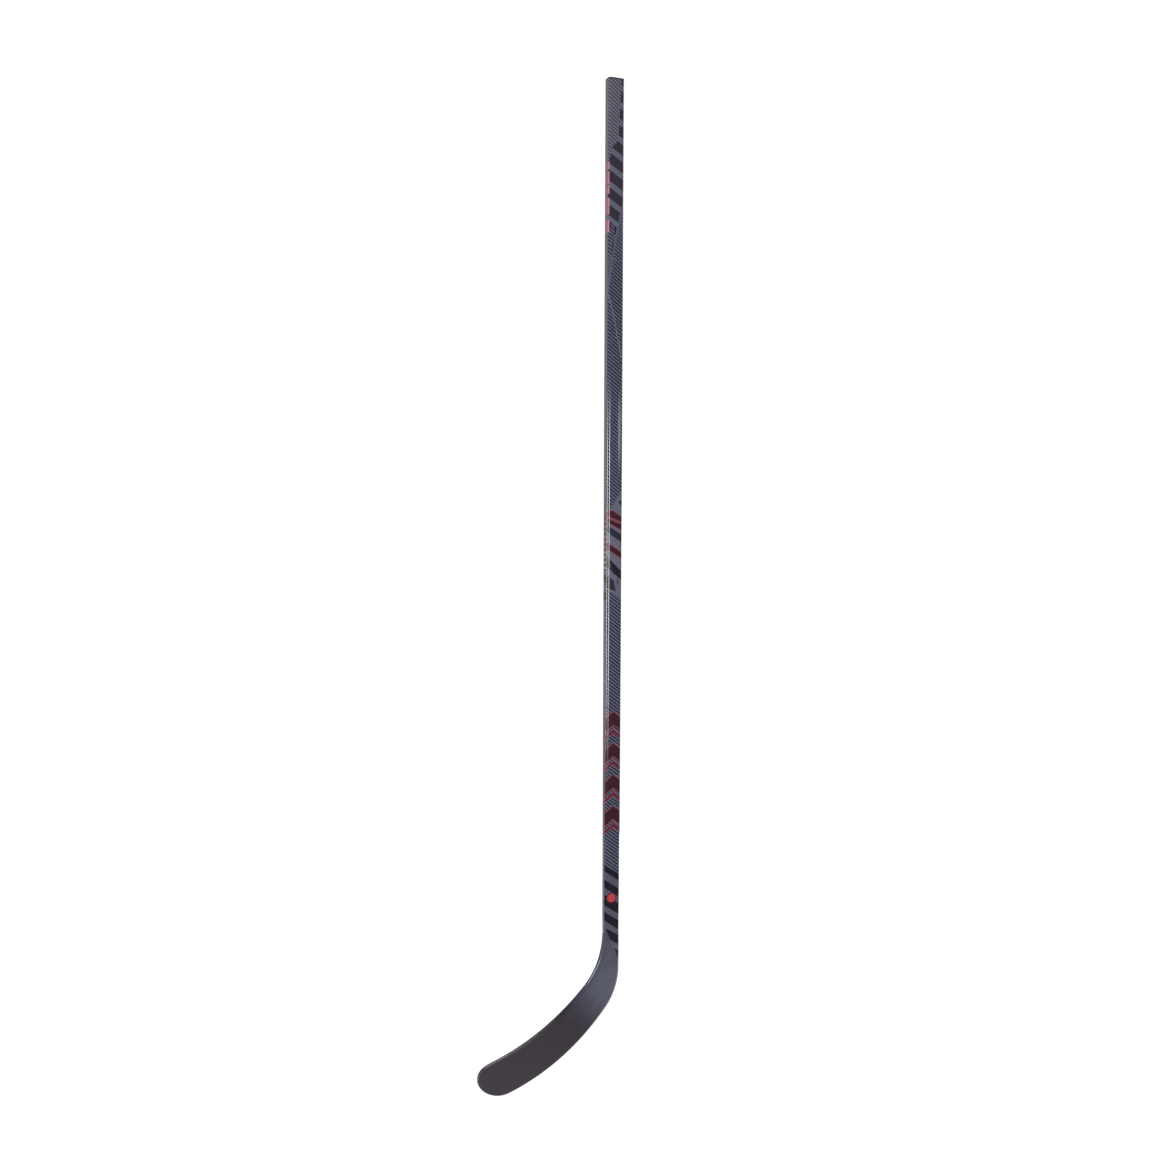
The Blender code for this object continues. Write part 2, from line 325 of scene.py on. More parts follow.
def along(start, runs, distance):
    """The point (x, z, heading) at this distance along an edge's straight and round runs."""
    point = start
    for length, turn in runs:
        step = min(distance, length)
        point = advance(point, step, turn * step / length)
        distance -= step
        if distance <= 0.0:
            break
    return point


SOLE_START = (SHAFT_WIDTH / 2, NECK_Z, -math.pi / 2)
TOP_START = (-SHAFT_WIDTH / 2, NECK_Z, -math.pi / 2)
SOLE_END = along(SOLE_START, SOLE_RUNS, sum(length for length, turn in SOLE_RUNS))
TOP_END = along(TOP_START, TOP_RUNS, sum(length for length, turn in TOP_RUNS))


def toe_point(t):
    """The point (x, z, heading) on the toe's cubic curve, from the sole at 0 to the top at 1."""
    handles = ((SOLE_END, TOE_SOLE_HANDLE), (TOP_END, TOE_TOP_HANDLE))
    outer = [(x + reach * math.cos(a), z + reach * math.sin(a)) for (x, z, a), reach in handles]
    points = (SOLE_END[:2], outer[0], outer[1], TOP_END[:2])
    weights = ((1 - t) ** 3, 3 * t * (1 - t) ** 2, 3 * t * t * (1 - t), t**3)
    slopes = ((1 - t) ** 2, 2 * t * (1 - t), t * t)
    x = sum(w * p[0] for w, p in zip(weights, points))
    z = sum(w * p[1] for w, p in zip(weights, points))
    dx = sum(s * (b[0] - a[0]) for s, a, b in zip(slopes, points, points[1:]))
    dz = sum(s * (b[1] - a[1]) for s, a, b in zip(slopes, points, points[1:]))
    return x, z, math.atan2(dz, dx)


def edge_point(side, q):
    """The point (x, z, heading) on the sole's edge or the top edge at station q."""
    if q > 2.0:
        t = (q - 2.0) / 2
        return toe_point(t if side == "sole" else 1.0 - t)
    if side == "sole":
        start, runs, heel = SOLE_START, SOLE_RUNS, SOLE_HEEL
    else:
        start, runs, heel = TOP_START, TOP_RUNS, TOP_HEEL
    if q <= 1.0:
        return along(start, runs, q * heel)
    return along(start, runs, heel + (q - 1.0) * runs[-1][0])


def inset_point(side, q, distance):
    """The edge's point at station q, moved square to the edge into the blade."""
    x, z, heading = edge_point(side, q)
    inward = 1.0 if side == "sole" or q > 2.0 else -1.0
    return x + inward * distance * math.sin(heading), z - inward * distance * math.cos(heading)


def half_thickness(q):
    if q <= 1.0:
        return mix(NECK_THICKNESS, HEEL_THICKNESS, smooth(q)) / 2
    thinned = 1.0 - max(2.0 - q, 0.0) ** THINNING
    return mix(HEEL_THICKNESS, TOE_THICKNESS, thinned) / 2


def edge_radius(q):
    return min(SHAFT_CORNER, EDGE_ROUNDNESS * half_thickness(q))


def roll(x, z, n):
    """A point of the flat drawing, n in front of its middle plane, on the curved blade."""
    cos_slope = math.cos(BLADE_SLOPE)
    sin_slope = math.sin(BLADE_SLOPE)
    u = -x * cos_slope - (z - HEEL_Z) * sin_slope
    v = -x * sin_slope + (z - HEEL_Z) * cos_slope
    angle = max(u - CURVE_START, 0.0) / CURVE_RADIUS
    reach = min(u, CURVE_START) + (CURVE_RADIUS - n) * math.sin(angle)
    depth = CURVE_RADIUS - (CURVE_RADIUS - n) * math.cos(angle)
    return -reach * cos_slope - v * sin_slope, depth, HEEL_Z - reach * sin_slope + v * cos_slope


def blade_stations(end):
    """Stations from the neck to end, closer together where the blade turns more."""
    values = spread(0.0, 1.0, HEEL_STEPS) + spread(1.0, 2.0, BLADE_STEPS)[1:]
    return [q for q in values + spread(2.0, 3.0, TOE_STEPS)[1:] if q < end] + [end]


def strip_points(start, end, n):
    """Points on the curved blade between two of the flat drawing, n in front of its middle plane."""
    shares = spread(0.0, 1.0, FACE_STRIPS)
    return [roll(mix(start[0], end[0], s), mix(start[1], end[1], s), n) for s in shares]


def face_ring(q, sign):
    """A face laminate's section at station q, outer side first, with softened outer corners."""
    h = half_thickness(q)
    inset = edge_radius(q) + SEAM
    low, high = (inset_point(side, q, inset) for side in ("sole", "top"))
    soft_low, soft_high = (inset_point(side, q, inset + SOFTENED) for side in ("sole", "top"))
    outer = strip_points(soft_low, soft_high, sign * h)
    inner = strip_points(high, low, sign * (h - FACE_SKIN))
    shoulders = [roll(*end, sign * (h - SOFTENED)) for end in (high, low)]
    return outer + shoulders[:1] + inner + shoulders[1:]


def make_face(name, side):
    stations = blade_stations(LAST_Q)
    rings = [face_ring(q, side) for q in stations]
    distances = running_lengths([ring[FACE_STRIPS // 2] for ring in rings])
    shares = spread(0.0, 0.86, FACE_STRIPS) + [0.88]
    shares += spread(0.90, 0.97, FACE_STRIPS) + [0.985, 1.0]
    return ring_mesh(name, rings, strip_tiles(distances, 2, 1.0), shares)


def edge_ring(side, q):
    """The edge band's section at station q: a rounded outer side and a flat inner side."""
    h = half_thickness(q)
    radius = edge_radius(q)
    inner_x, inner_z = inset_point(side, q, radius)
    ring = [roll(inner_x, inner_z, h - SOFTENED)]
    for sign in (1, -1):
        for angle in spread(0.0, math.pi / 2, EDGE_STEPS):
            if sign < 0:
                angle = math.pi / 2 - angle
            outward = max(radius * math.sin(angle), SOFTENED)
            n = sign * (h - radius + radius * math.cos(angle))
            ring.append(roll(*inset_point(side, q, radius - outward), n))
    ring.append(roll(inner_x, inner_z, SOFTENED - h))
    return ring


def make_edge_band():
    stations = blade_stations(3.0)
    rings = [edge_ring("sole", q) for q in stations]
    rings += [edge_ring("top", q) for q in stations[-2::-1]]
    distances = running_lengths([ring[EDGE_STEPS] for ring in rings])
    shares = spread(0.0, 0.9, 2 * EDGE_STEPS + 3) + [1.0]
    return ring_mesh("edge_band", rings, strip_tiles(distances, 6, 1.0), shares)


# Paint: fields of numbers over a surface, made of nodes

SOFT = 0.2
MIX_FIRST, MIX_SECOND, MIX_RESULT = 6, 7, 2


class Field:
    """A number that varies over a surface, as a node's output. Arithmetic on it adds Math nodes."""

    def __init__(self, tree, socket):
        self.tree = tree
        self.socket = socket

    def math(self, operation, *others, clamp=False):
        node = self.tree.nodes.new("ShaderNodeMath")
        node.operation = operation
        node.use_clamp = clamp
        for slot, value in zip(node.inputs, (self, *others)):
            feed(slot, value)
        return Field(self.tree, node.outputs[0])

    def __add__(self, other):
        return self.math("ADD", other)

    def __sub__(self, other):
        return self.math("SUBTRACT", other)

    def __mul__(self, other):
        return self.math("MULTIPLY", other)

    def __neg__(self):
        return self.math("MULTIPLY", -1.0)

    def __abs__(self):
        return self.math("ABSOLUTE")

    def least(self, other):
        return self.math("MINIMUM", other)

    def most(self, other):
        return self.math("MAXIMUM", other)

    def above(self, limit, soft=SOFT):
        """1 where this number is above limit and 0 below, with a step as wide as soft."""
        return (self - limit).math("MULTIPLY_ADD", 1.0 / soft, 0.5, clamp=True)

    def below(self, limit, soft=SOFT):
        return (self - limit).math("MULTIPLY_ADD", -1.0 / soft, 0.5, clamp=True)

    def between(self, low, high, soft=SOFT):
        return abs(self - (low + high) / 2).below((high - low) / 2, soft)

    def ranged(self, low, high, start=0.0, end=1.0, kind="LINEAR"):
        """This number's range from low to high, drawn out to the range from start to end."""
        node = self.tree.nodes.new("ShaderNodeMapRange")
        node.interpolation_type = kind
        for slot, value in zip(node.inputs, (self, low, high, start, end)):
            feed(slot, value)
        return Field(self.tree, node.outputs[0])


def feed(slot, value):
    """Links a field to a node's input, or sets the input to a constant."""
    if isinstance(value, Field):
        value.tree.links.new(value.socket, slot)
    else:
        slot.default_value = value


def linear(value):
    """A screen value of 0 to 255 as the linear value that shaders take."""
    share = value / 255
    return share / 12.92 if share <= 0.04045 else ((share + 0.055) / 1.055) ** 2.4


def screen(red, green, blue):
    return (linear(red), linear(green), linear(blue), 1.0)


def new_material(name):
    """A material, its node tree and its Principled shader."""
    material = bpy.data.materials.new(name)
    material.use_nodes = True
    tree = material.node_tree
    return material, tree, tree.nodes["Principled BSDF"]


def vector_math(tree, operation, *inputs):
    node = tree.nodes.new("ShaderNodeVectorMath")
    node.operation = operation
    for slot, value in zip(node.inputs, inputs):
        feed(slot, value)
    return node


def scaled(vector, scale):
    """A point or a colour times a number, which may vary over the surface."""
    node = vector_math(vector.tree, "SCALE", vector)
    feed(node.inputs["Scale"], scale)
    return Field(vector.tree, node.outputs[0])


def surface_point(tree):
    """The surface point in millimetres in the CAD's frame."""
    point = tree.nodes.new("ShaderNodeTexCoord").outputs["Object"]
    return scaled(Field(tree, point), 1000.0)


def parted(vector):
    """The x, y and z of a point."""
    node = vector.tree.nodes.new("ShaderNodeSeparateXYZ")
    feed(node.inputs[0], vector)
    return [Field(vector.tree, socket) for socket in node.outputs]


def joined(x, y, z):
    node = x.tree.nodes.new("ShaderNodeCombineXYZ")
    for slot, value in zip(node.inputs, (x, y, z)):
        feed(slot, value)
    return Field(x.tree, node.outputs[0])


def noise(vector, size, detail=2.0, stretch=(1.0, 1.0, 1.0)):
    """Cloudy noise of 0 to 1 with features about size millimetres across, longer where stretched."""
    tree = vector.tree
    scale = tuple(1.0 / (size * s) for s in stretch)
    node = tree.nodes.new("ShaderNodeTexNoise")
    feed(node.inputs["Vector"], Field(tree, vector_math(tree, "MULTIPLY", vector, scale).outputs[0]))
    node.inputs["Scale"].default_value = 1.0
    node.inputs["Detail"].default_value = detail
    return Field(tree, node.outputs[0])


def painted(tree, ground, layers):
    """A colour over a surface: the ground, then each layer's colour laid on through its mask."""
    colour = ground
    for mask, paint in layers:
        node = tree.nodes.new("ShaderNodeMix")
        node.data_type = "RGBA"
        feed(node.inputs["Factor"], mask)
        feed(node.inputs[MIX_FIRST], colour)
        feed(node.inputs[MIX_SECOND], paint)
        colour = Field(tree, node.outputs[MIX_RESULT])
    return colour


def bumped(tree, shader, height, distance, strength=1.0):
    """Gives the shader a bump from a height field of 0 to 1 that is distance metres tall."""
    node = tree.nodes.new("ShaderNodeBump")
    node.inputs["Distance"].default_value = distance
    node.inputs["Strength"].default_value = strength
    feed(node.inputs["Height"], height)
    tree.links.new(node.outputs[0], shader.inputs["Normal"])


# Graphics of the shaft, in millimetres of across and z


class Sheet:
    """The paint's flat drawing sheet: across and z of the surface, and shapes drawn there."""

    def __init__(self, across, z):
        self.tree = across.tree
        self.across = across
        self.z = z
        self.spot = joined(across, z, 1.0)

    def beyond(self, start, end):
        """Distance to the left of the line from start to end, as someone who walks it sees it."""
        (a0, z0), (a1, z1) = start, end
        length = math.dist(start, end)
        na, nz = (z0 - z1) / length, (a1 - a0) / length
        normal = (na, nz, -(na * a0 + nz * z0))
        node = vector_math(self.tree, "DOT_PRODUCT", self.spot, normal)
        return Field(self.tree, node.outputs["Value"])

    def polygon(self, *corners):
        """How deep the point is inside a convex polygon of corners (across, z)."""
        edges = list(zip(corners, corners[1:] + corners[:1]))
        if sum(a0 * z1 - a1 * z0 for (a0, z0), (a1, z1) in edges) < 0.0:
            edges = [(end, start) for start, end in edges]
        depth = self.beyond(*edges[0])
        for edge in edges[1:]:
            depth = depth.least(self.beyond(*edge))
        return depth

    def slant(self, slope):
        """Height z where the line through the point that falls by slope to the right crosses across 0."""
        return self.z + self.across * slope

    def curve(self, *points):
        """Across as a smooth function of z through points (z, across), listed from the lowest z."""
        lows = [min(p[i] for p in points) for i in (0, 1)]
        highs = [max(p[i] for p in points) for i in (0, 1)]
        node = self.tree.nodes.new("ShaderNodeFloatCurve")
        line = node.mapping.curves[0]
        for _ in points[2:]:
            line.points.new(0.5, 0.5)
        for knot, point in zip(line.points, sorted(points)):
            knot.location = [(point[i] - lows[i]) / (highs[i] - lows[i]) for i in (0, 1)]
        node.mapping.update()
        feed(node.inputs["Value"], self.z.ranged(lows[0], highs[0]))
        return Field(self.tree, node.outputs[0]).ranged(0.0, 1.0, lows[1], highs[1])


# Colours of the graphics, as screen values
NAVY = screen(43, 45, 67)
SLATE = screen(78, 79, 94)
STRIPE = screen(122, 124, 151)
BRIGHT = screen(140, 140, 158)
BAND = screen(21, 19, 40)
DUSK = screen(62, 57, 73)
GREY = screen(99, 100, 119)
LIGHT_GREY = screen(121, 121, 142)
PALE = screen(112, 114, 138)
THIN = screen(150, 156, 168)
NECK = screen(87, 88, 109)
MAROON = screen(66, 19, 39)
RED = screen(188, 76, 98)
DASH = screen(244, 160, 178)
ROSE = screen(156, 84, 100)
DOT = screen(224, 78, 82)
SILVER = screen(162, 159, 175)
RULER = screen(104, 100, 112)
TICK = screen(206, 206, 214)
SIDE_BLOCK = screen(92, 92, 98)
SIDE_LINE = screen(176, 88, 100)
CARBON = screen(40, 32, 42)
PLASTIC = screen(34, 35, 38)

# Where the silver of the narrow sides and their red dashes begin, in millimetres of across
FACE_EDGE = 16.2
DASH_EDGE = 13.2

# Steps of the ticks and of the fine lines on the narrow sides
TICK_STEP = 9.0
LINE_STEP = 2.5

# Pinstripes: their step at the butt, how the step shrinks with each millimetre down, how many steps they
# rise for each millimetre across, and where the first one lies
STRIPE_STEP = 6.47
STRIPE_CROWDING = 2.16e-5
STRIPE_RISE = 0.75 / 6.3
STRIPE_START = 0.17


def face_sheet(x, z):
    """The drawing sheet of both wide faces, from the surface point in millimetres."""
    corner = SHAFT_CORNER * 1000
    flat = SHAFT_WIDTH * 500 - corner
    turned = ((abs(x) - flat).math("MULTIPLY", 1.0 / corner, clamp=True)).math("ARCSINE")
    unrolled = abs(x).least(flat) + turned * corner
    return Sheet(unrolled * x.math("SIGN"), z)


def pinstripes(sheet):
    """1 on the light lines. They are closer together and thinner towards the heel."""
    down = -sheet.z
    turns = down * (down * STRIPE_CROWDING + 1.0) * (1.0 / STRIPE_STEP) - sheet.across * STRIPE_RISE
    offset = abs((turns + STRIPE_START).math("FRACT") - 0.5)
    return offset.below(sheet.z.ranged(-60.0, -400.0, 0.27, 0.21), 0.05)


def butt_layers(sheet):
    """Slanted bands between a curved wedge and a sweeping pale line, and a thin line further down."""
    z = sheet.z
    slanted = sheet.slant(0.61)
    banded = ((-slanted - 136.0) * (1.0 / 29.7)).math("FRACT").below(0.63, 0.01)
    wedge = sheet.across - sheet.curve(
        (-150, -18), (-140, -13.5), (-117, -6.5), (-109, 0.5),
        (-100, 3.3), (-75, 4.8), (-50, 6.2), (0, 8.8),
    )
    sweep = sheet.curve(
        (-390, -18), (-350, -11.5), (-318, -6.6), (-288, -2.2),
        (-270, 1.0), (-252, 5.2), (-235, 9.0), (-215, 14.0),
    ) - sheet.across
    thin = sheet.across - sheet.curve(
        (-480, 11.0), (-466, 8.6), (-440, 2.6), (-407, -4.2), (-373, -13.6), (-365, -16.0)
    )
    area = wedge.above(0.0) * sweep.above(0.0) * slanted.above(-253.0)
    layers = [(area, LIGHT_GREY), (area * banded, DUSK)]
    for corners in (
        ((-18, -241), (-12, -246), (-8.5, -256), (-18, -262)),
        ((-5.0, -252.0), (1.6, -256.5), (1.6, -270.0), (-2.0, -270.0)),
        ((-6.5, -280.0), (-3.6, -283.0), (-5.6, -297.0), (-8.0, -297.0)),
    ):
        layers.append((sheet.polygon(*corners).above(0.0), NAVY))
    layers.append((sweep.above(0.0) * slanted.below(-309.0) * z.above(-400.0), GREY))
    layers.append((sweep.between(0.0, 3.2) * z.between(-400.0, -205.0), PALE))
    layers.append((abs(thin).below(0.6) * z.between(-478.0, -366.0), THIN))
    return layers


def middle_layers(sheet):
    """A block of slanted bands halfway down, two maroon with a red outline, one with a rose stripe."""
    rising = sheet.slant(-1.55)
    area = rising.below(-729.0) * sheet.slant(0.68).above(-889.0)
    layers = [(area, LIGHT_GREY), (rising.between(-732.5, -727.0), PALE)]
    for corners, paint, edge in (
        (((6.5, -728.5), (18.0, -720.0), (18.0, -742.0)), NAVY, None),
        (((-18, -745), (-4, -744), (18, -758), (18, -780), (-18, -762)), MAROON, RED),
        (((-18, -751), (18, -765), (18, -770), (-18, -756)), ROSE, None),
        (((-18, -767), (18, -788), (18, -802), (-18, -779)), NAVY, None),
        (((-18, -797), (18, -820), (18, -830), (-18, -808)), MAROON, RED),
        (((-18, -821), (18, -854), (18, -870), (-18, -839)), BAND, None),
        (((-18, -855), (-1.2, -866), (2.8, -885), (-18, -877)), NAVY, None),
        (((3.6, -862), (8.0, -868), (6.6, -877)), NAVY, None),
    ):
        depth = sheet.polygon(*corners)
        if edge:
            layers.append((depth.above(-1.1), edge))
        layers.append((depth.above(0.0), paint))
    ray = sheet.beyond((-18.0, -808.0), (9.4, -893.0))
    layers.append((ray.between(-0.5, 0.5) * sheet.z.between(-893.0, -832.0), PALE))
    return layers


def chevron_layers(sheet):
    """A row of maroon chevrons with red outlines."""
    chevron = sheet.z + abs(sheet.across) * 0.8
    step = ((-chevron - 1094.0) * (1.0 / 56.0)).math("FRACT")
    zone = chevron.between(-1318.0, -1094.0)
    layers = []
    for middle, half in ((0.26, 0.23), (0.66, 0.06)):
        layers.append((zone * abs(step - middle).below(half, 0.006), RED))
        layers.append((zone * abs(step - middle).below(half - 0.028, 0.006), MAROON))
    return layers


def heel_layers(sheet, plain):
    """Slanted bands round a red dot, cut off by the plain paint of the neck."""
    lower = sheet.slant(0.68)
    layers = [(lower.below(-1379.0), GREY)]
    for top, bottom in ((-1379.0, -1391.5), (-1406.0, -1420.5), (-1433.0, -1452.0), (-1463.5, -1479.5)):
        layers.append((lower.between(bottom, top), BAND))
    spot = joined(sheet.across, sheet.z, 0.0)
    away = vector_math(sheet.tree, "DISTANCE", spot, (-2.2, -1429.5, 0.0)).outputs["Value"]
    dot = Field(sheet.tree, away)
    layers += [(dot.below(9.6), MAROON), (dot.below(7.9), DOT)]
    dark = sheet.polygon((-13.5, -1482.5), (18.0, -1501.5), (18.0, -1518.0), (-3.8, -1505.0))
    last = sheet.polygon((4.0, -1521.0), (18.0, -1530.0), (18.0, -1560.0))
    layers += [(dark.above(0.0), BAND), (last.above(0.0), BAND)]
    layers.append((sheet.beyond((-18.0, -1474.0), (11.5, -1542.0)).below(-0.4), plain))
    return layers


def side_layers(sheet):
    """Silver narrow sides with red dashes, pale ticks, and fine red lines by the block and chevrons."""
    z = sheet.z
    side = abs(sheet.across).above(FACE_EDGE)
    wide_side = abs(sheet.across).above(DASH_EDGE)
    layers = [(side * z.above(-1500.0), SILVER)]
    for top, bottom in ((-143, -156), (-160, -181), (-184, -198), (-205, -233), (-243, -264)):
        layers.append((wide_side * z.between(bottom, top), DASH))
    ruler = side * z.between(-851.0, -756.0)
    ticks = (z * (1.0 / TICK_STEP)).math("FRACT").below(0.6, 0.03)
    layers += [(ruler, RULER), (ruler * ticks, TICK)]
    for top, bottom in ((-857, -868), (-886, -900)):
        layers.append((side * z.between(bottom, top), SIDE_BLOCK))
    lines = (z * (1.0 / LINE_STEP)).math("FRACT").below(0.4, 0.05)
    near = z.between(-1332.0, -1088.0).most(z.between(-816.0, -744.0))
    layers.append((side * lines * near, SIDE_LINE))
    return layers


# Materials


def twill(across, along, tow):
    """A two by two twill of tows this wide: its height, and 1 where the tow that runs along is on top."""
    u = across * (1.0 / tow)
    v = along * (1.0 / tow)
    over = ((u.math("FLOOR") + v.math("FLOOR")) * 0.25).math("FRACT").below(0.5, 0.02)
    round_u = abs(u.math("FRACT") - 0.5) * 2.0
    round_v = abs(v.math("FRACT") - 0.5) * 2.0
    low = round_u * over + round_v * (over * -1.0 + 1.0)
    return low * low * -1.0 + 1.0, over


def varnish(shader, weight, roughness, density):
    """A clear coat, the same all over. density is its index of refraction."""
    shader.inputs["Coat Weight"].default_value = weight
    shader.inputs["Coat Roughness"].default_value = roughness
    shader.inputs["Coat IOR"].default_value = density


def shaft_paint(name):
    """Printed stripes and bands under varnish, on a laminate whose weave shows faintly."""
    material, tree, shader = new_material(name)
    point = surface_point(tree)
    x, _, z = parted(point)
    sheet = face_sheet(x, z)
    lines = pinstripes(sheet)
    butt = z.ranged(-330.0, -60.0)
    ink = painted(tree, STRIPE, [(butt, BRIGHT)])
    layers = [(lines, ink)] + butt_layers(sheet) + middle_layers(sheet) + chevron_layers(sheet)
    layers += heel_layers(sheet, NECK) + side_layers(sheet)
    colour = painted(tree, painted(tree, NAVY, [(butt, SLATE)]), layers)
    height, over = twill(sheet.across + z, z - sheet.across, 1.6)
    cloud = noise(point, 14.0, detail=3.0)
    grain = noise(point, 0.35, stretch=(1.0, 1.0, 30.0))
    shade = over * 0.05 + cloud * 0.16 + grain * 0.08 + 0.84
    feed(shader.inputs["Base Color"], scaled(colour, shade))
    side = abs(sheet.across).above(FACE_EDGE, 0.6)
    feed(shader.inputs["Metallic"], side * 0.55)
    feed(shader.inputs["Roughness"], lines * 0.06 + cloud * 0.14 + grain * 0.08 + 0.26)
    shader.inputs["Specular IOR Level"].default_value = 0.1
    varnish(shader, 1.0, 0.04, 2.1)
    bumped(tree, shader, height * 0.35 + lines * 0.5 + grain * 0.15, 0.00004, 0.5)
    return material


def blade_along(point):
    """Distance along the blade's slope from its heel, in millimetres."""
    slope = (-math.cos(BLADE_SLOPE), 0.0, -math.sin(BLADE_SLOPE))
    node = vector_math(point.tree, "DOT_PRODUCT", point, slope)
    return Field(point.tree, node.outputs["Value"]) + HEEL_Z * 1000 * math.sin(BLADE_SLOPE)


def blade_up(point):
    """Height above the heel square to the blade's slope, in millimetres."""
    square = (-math.sin(BLADE_SLOPE), 0.0, math.cos(BLADE_SLOPE))
    node = vector_math(point.tree, "DOT_PRODUCT", point, square)
    return Field(point.tree, node.outputs["Value"]) - HEEL_Z * 1000 * math.cos(BLADE_SLOPE)


def blade_paint(name, wear, coat):
    """Varnish over twill, from the neck's paint at the heel to unpainted dark laminate at the toe. The
    blue-grey at the heel is partly the neck's paint and partly a painted sheen.

    coat has the varnish's weight, roughness and index of refraction.
    """
    material, tree, shader = new_material(name)
    point = surface_point(tree)
    x, y, z = parted(point)
    sheet = face_sheet(x, z)
    along = blade_along(point)
    up = blade_up(point)
    height, over = twill(along + up, up - along, 2.4)
    _, broad = twill(along + up, up - along, 11.0)
    cloud = noise(point, 30.0, detail=3.0)
    fine = noise(point, 0.5, detail=1.0)
    scuffs = noise(joined(along, up, y), 1.2, detail=3.0, stretch=(14.0, 1.0, 1.0))
    # The neck's blue-grey fades to dark laminate from 15 to 110 mm along the blade; near the heel it also
    # stands in for the sheen, a painted reflection.
    laminate_past_heel_sheen = along.ranged(15.0, 110.0, kind="SMOOTHSTEP")
    laminate_and_heel_sheen = painted(tree, NECK, [(laminate_past_heel_sheen, CARBON)])
    colour = painted(tree, laminate_and_heel_sheen, heel_layers(sheet, laminate_and_heel_sheen))
    shade = over * 0.10 * laminate_past_heel_sheen + broad * 0.07 + cloud * 0.20 + fine * 0.10 + 0.76
    rubbed = scuffs.above(0.63, 0.12) * wear
    feed(shader.inputs["Base Color"], painted(tree, scaled(colour, shade), [(rubbed, GREY)]))
    feed(shader.inputs["Roughness"], over * 0.05 + cloud * 0.16 + scuffs * 0.14 + 0.34)
    shader.inputs["Specular IOR Level"].default_value = 0.25
    varnish(shader, *coat)
    bumped(tree, shader, height * 0.6 + scuffs * 0.3 + fine * 0.1, 0.00006, 0.5)
    return material


def plug_plastic(name):
    """Dark moulded plastic with a fine spark-eroded grain, rubbed lighter in places."""
    material, tree, shader = new_material(name)
    point = surface_point(tree)
    grain = noise(point, 0.45, detail=4.0)
    cloud = noise(point, 7.0, detail=3.0)
    rubbed = (cloud * 0.6 + grain * 0.4).above(0.58, 0.2) * parted(point)[2].above(-3.0, 1.0)
    colour = scaled(painted(tree, PLASTIC, [(rubbed, screen(66, 67, 70))]), grain * 0.3 + 0.85)
    feed(shader.inputs["Base Color"], colour)
    feed(shader.inputs["Roughness"], grain * 0.2 + cloud * 0.15 + 0.38)
    bumped(tree, shader, grain, 0.00008, 0.6)
    return material


def foam(name):
    """Pale closed-cell foam: small cells with raised walls."""
    material, tree, shader = new_material(name)
    point = surface_point(tree)
    node = tree.nodes.new("ShaderNodeTexVoronoi")
    node.feature = "DISTANCE_TO_EDGE"
    node.inputs["Scale"].default_value = 0.9
    feed(node.inputs["Vector"], point)
    wall = Field(tree, node.outputs["Distance"]).ranged(0.0, 0.3, 1.0, 0.0)
    cloud = noise(point, 9.0)
    colour = painted(tree, screen(214, 204, 176), [(wall * 0.5, screen(232, 226, 205))])
    feed(shader.inputs["Base Color"], scaled(colour, cloud * 0.2 + 0.88))
    feed(shader.inputs["Roughness"], cloud * 0.1 + wall * 0.1 + 0.72)
    bumped(tree, shader, wall, 0.0003, 0.8)
    return material


def laminate(name):
    """Black fibre laminate as it comes from the mould: fine straight fibres with a resin gloss."""
    material, tree, shader = new_material(name)
    point = surface_point(tree)
    fibre = noise(point, 0.25, detail=2.0, stretch=(1.0, 1.0, 60.0))
    cloud = noise(point, 12.0)
    colour = painted(tree, screen(26, 26, 29), [(fibre.above(0.52, 0.2), screen(50, 50, 54))])
    feed(shader.inputs["Base Color"], scaled(colour, cloud * 0.3 + 0.8))
    feed(shader.inputs["Roughness"], fibre * 0.25 + cloud * 0.1 + 0.25)
    bumped(tree, shader, fibre, 0.00005, 0.7)
    return material


def filler(name):
    """Heel filler: dark moulding compound of short chopped fibres."""
    material, tree, shader = new_material(name)
    point = surface_point(tree)
    chips = noise(point, 2.5, detail=5.0, stretch=(3.0, 1.0, 1.0))
    cross = noise(point, 2.5, detail=5.0, stretch=(1.0, 1.0, 3.0))
    patch = chips.most(cross)
    colour = painted(tree, screen(38, 36, 36), [(patch.above(0.58, 0.1), screen(72, 70, 70))])
    feed(shader.inputs["Base Color"], colour)
    feed(shader.inputs["Roughness"], patch * 0.4 + 0.3)
    bumped(tree, shader, patch, 0.0001, 0.7)
    return material


# Studio


def make_floor():
    """A pale sheet of paper just under the blade."""
    left, right, front, back = -0.32, 1.0, -0.35, 0.9
    level = cad_bounds[0][2] - 0.0002
    mesh = bpy.data.meshes.new("floor")
    corners = ((left, front), (right, front), (right, back), (left, back))
    mesh.from_pydata([(x, y, level) for x, y in corners], [], [(0, 1, 2, 3)])
    floor = bpy.data.objects.new("floor", mesh)
    bpy.context.scene.collection.objects.link(floor)
    material, _, shader = new_material("floor_paper")
    shader.inputs["Base Color"].default_value = (0.6, 0.6, 0.6, 1.0)
    shader.inputs["Roughness"].default_value = 0.7
    shader.inputs["Emission Color"].default_value = (1.0, 1.0, 1.0, 1.0)
    shader.inputs["Emission Strength"].default_value = 0.85
    mesh.materials.append(material)


def make_world():
    """A studio that is white where it is seen, and lights and mirrors dim from the front."""
    world = bpy.data.worlds.new("studio")
    bpy.context.scene.world = world
    world.use_nodes = True
    tree = world.node_tree
    background = tree.nodes["Background"]
    background.inputs["Color"].default_value = (1.0, 1.0, 1.0, 1.0)
    direction = Field(tree, tree.nodes.new("ShaderNodeTexCoord").outputs["Generated"])
    _, y, z = parted(direction)
    glow = y.ranged(-0.3, 1.0, 0.12, 0.46) * z.ranged(-0.3, 0.3, 0.6, 0.5)
    seen = Field(tree, tree.nodes.new("ShaderNodeLightPath").outputs["Is Camera Ray"])
    feed(background.inputs["Strength"], glow.most(seen * 1.05))


